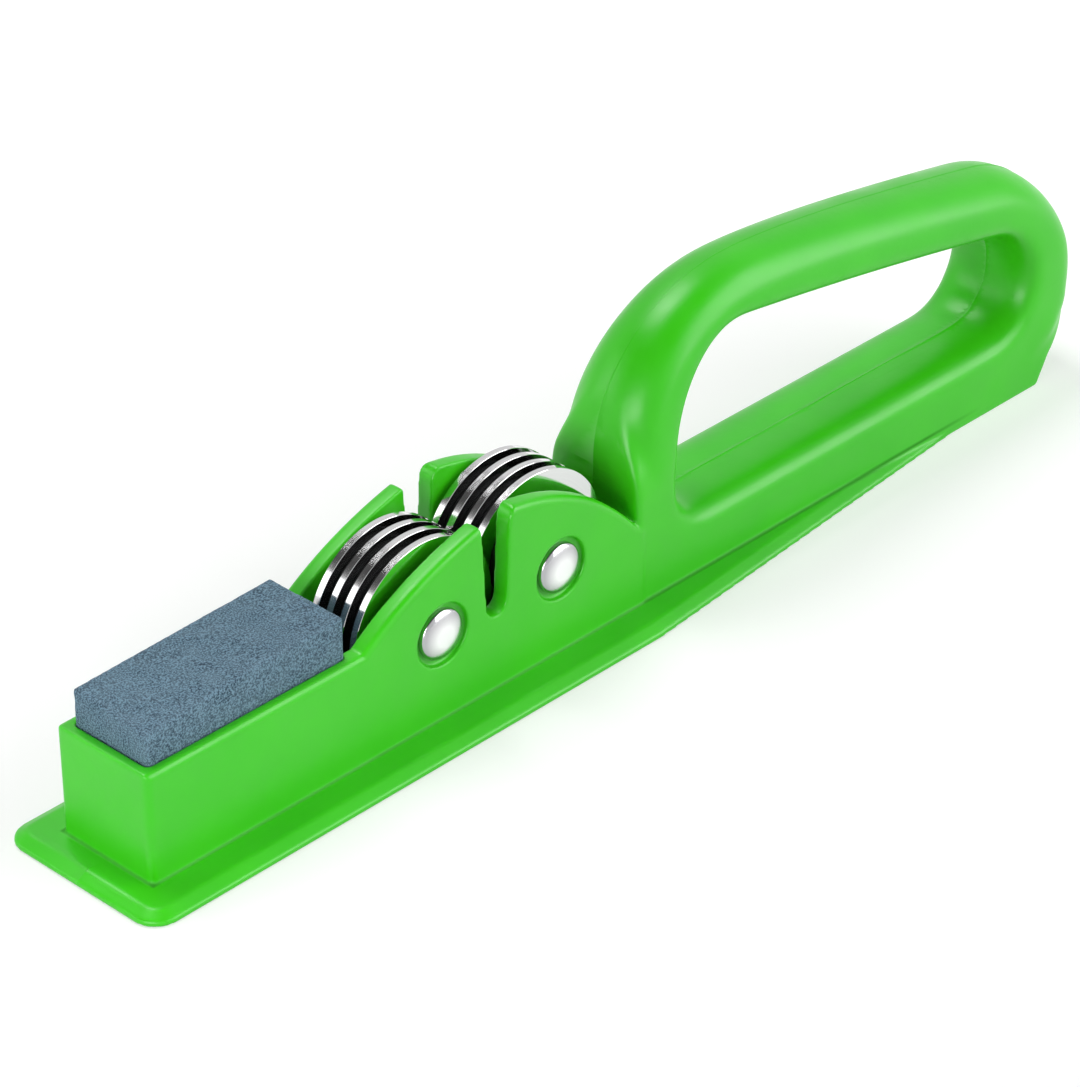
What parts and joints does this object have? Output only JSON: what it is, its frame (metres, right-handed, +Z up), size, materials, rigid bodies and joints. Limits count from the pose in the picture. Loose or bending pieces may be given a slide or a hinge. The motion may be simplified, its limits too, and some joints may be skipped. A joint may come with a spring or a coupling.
{
  "type": "roller knife sharpener",
  "caption": "Hand-held kitchen knife sharpener with a moulded loop handle, interleaved steel roller discs under a blade slot, and a whetstone block set in a tray on a flat base.",
  "frame": {"origin": "under the middle of the part's box, on the plane that it rests on", "axes": "+X from the whetstone end to the handle's rear, +Y across, +Z up"},
  "size_m": [0.2106, 0.032, 0.0484],
  "materials": {
    "green_plastic": "satin moulded",
    "abrasive_stone": "sintered grit",
    "rivet_metal": "polished",
    "black_plastic": "matt",
    "disc_steel": "ground and polished"
  },
  "bodies": {
    "holder": {"body": "green_plastic", "whetstone": "abrasive_stone", "front_rivet_pin": "rivet_metal", "front_rivet_sleeve": "rivet_metal", "rear_rivet_pin": "rivet_metal", "rear_rivet_sleeve": "rivet_metal"},
    "front_set": {"front_hub": "black_plastic", "front_disc_1": "disc_steel", "front_disc_2": "disc_steel", "front_disc_3": "disc_steel", "front_disc_4": "disc_steel", "front_spacer_1": "black_plastic", "front_spacer_2": "black_plastic", "front_spacer_3": "black_plastic", "front_near_washer": "black_plastic", "front_far_collar": "black_plastic"},
    "rear_set": {"rear_hub": "black_plastic", "rear_disc_1": "disc_steel", "rear_disc_2": "disc_steel", "rear_disc_3": "disc_steel", "rear_disc_4": "disc_steel", "rear_spacer_1": "black_plastic", "rear_spacer_2": "black_plastic", "rear_spacer_3": "black_plastic", "rear_near_collar": "black_plastic", "rear_far_washer": "black_plastic"}
  },
  "joints": [
    {"name": "front_set_spin", "type": "hinge", "parent": "holder", "child": "front_set", "pos_m": [-0.04285, 0, 0.0162], "axis": [0, 1, 0], "continuous": true},
    {"name": "rear_set_spin", "type": "hinge", "parent": "holder", "child": "rear_set", "pos_m": [-0.01835, 0, 0.0162], "axis": [0, 1, 0], "continuous": true}
  ]
}
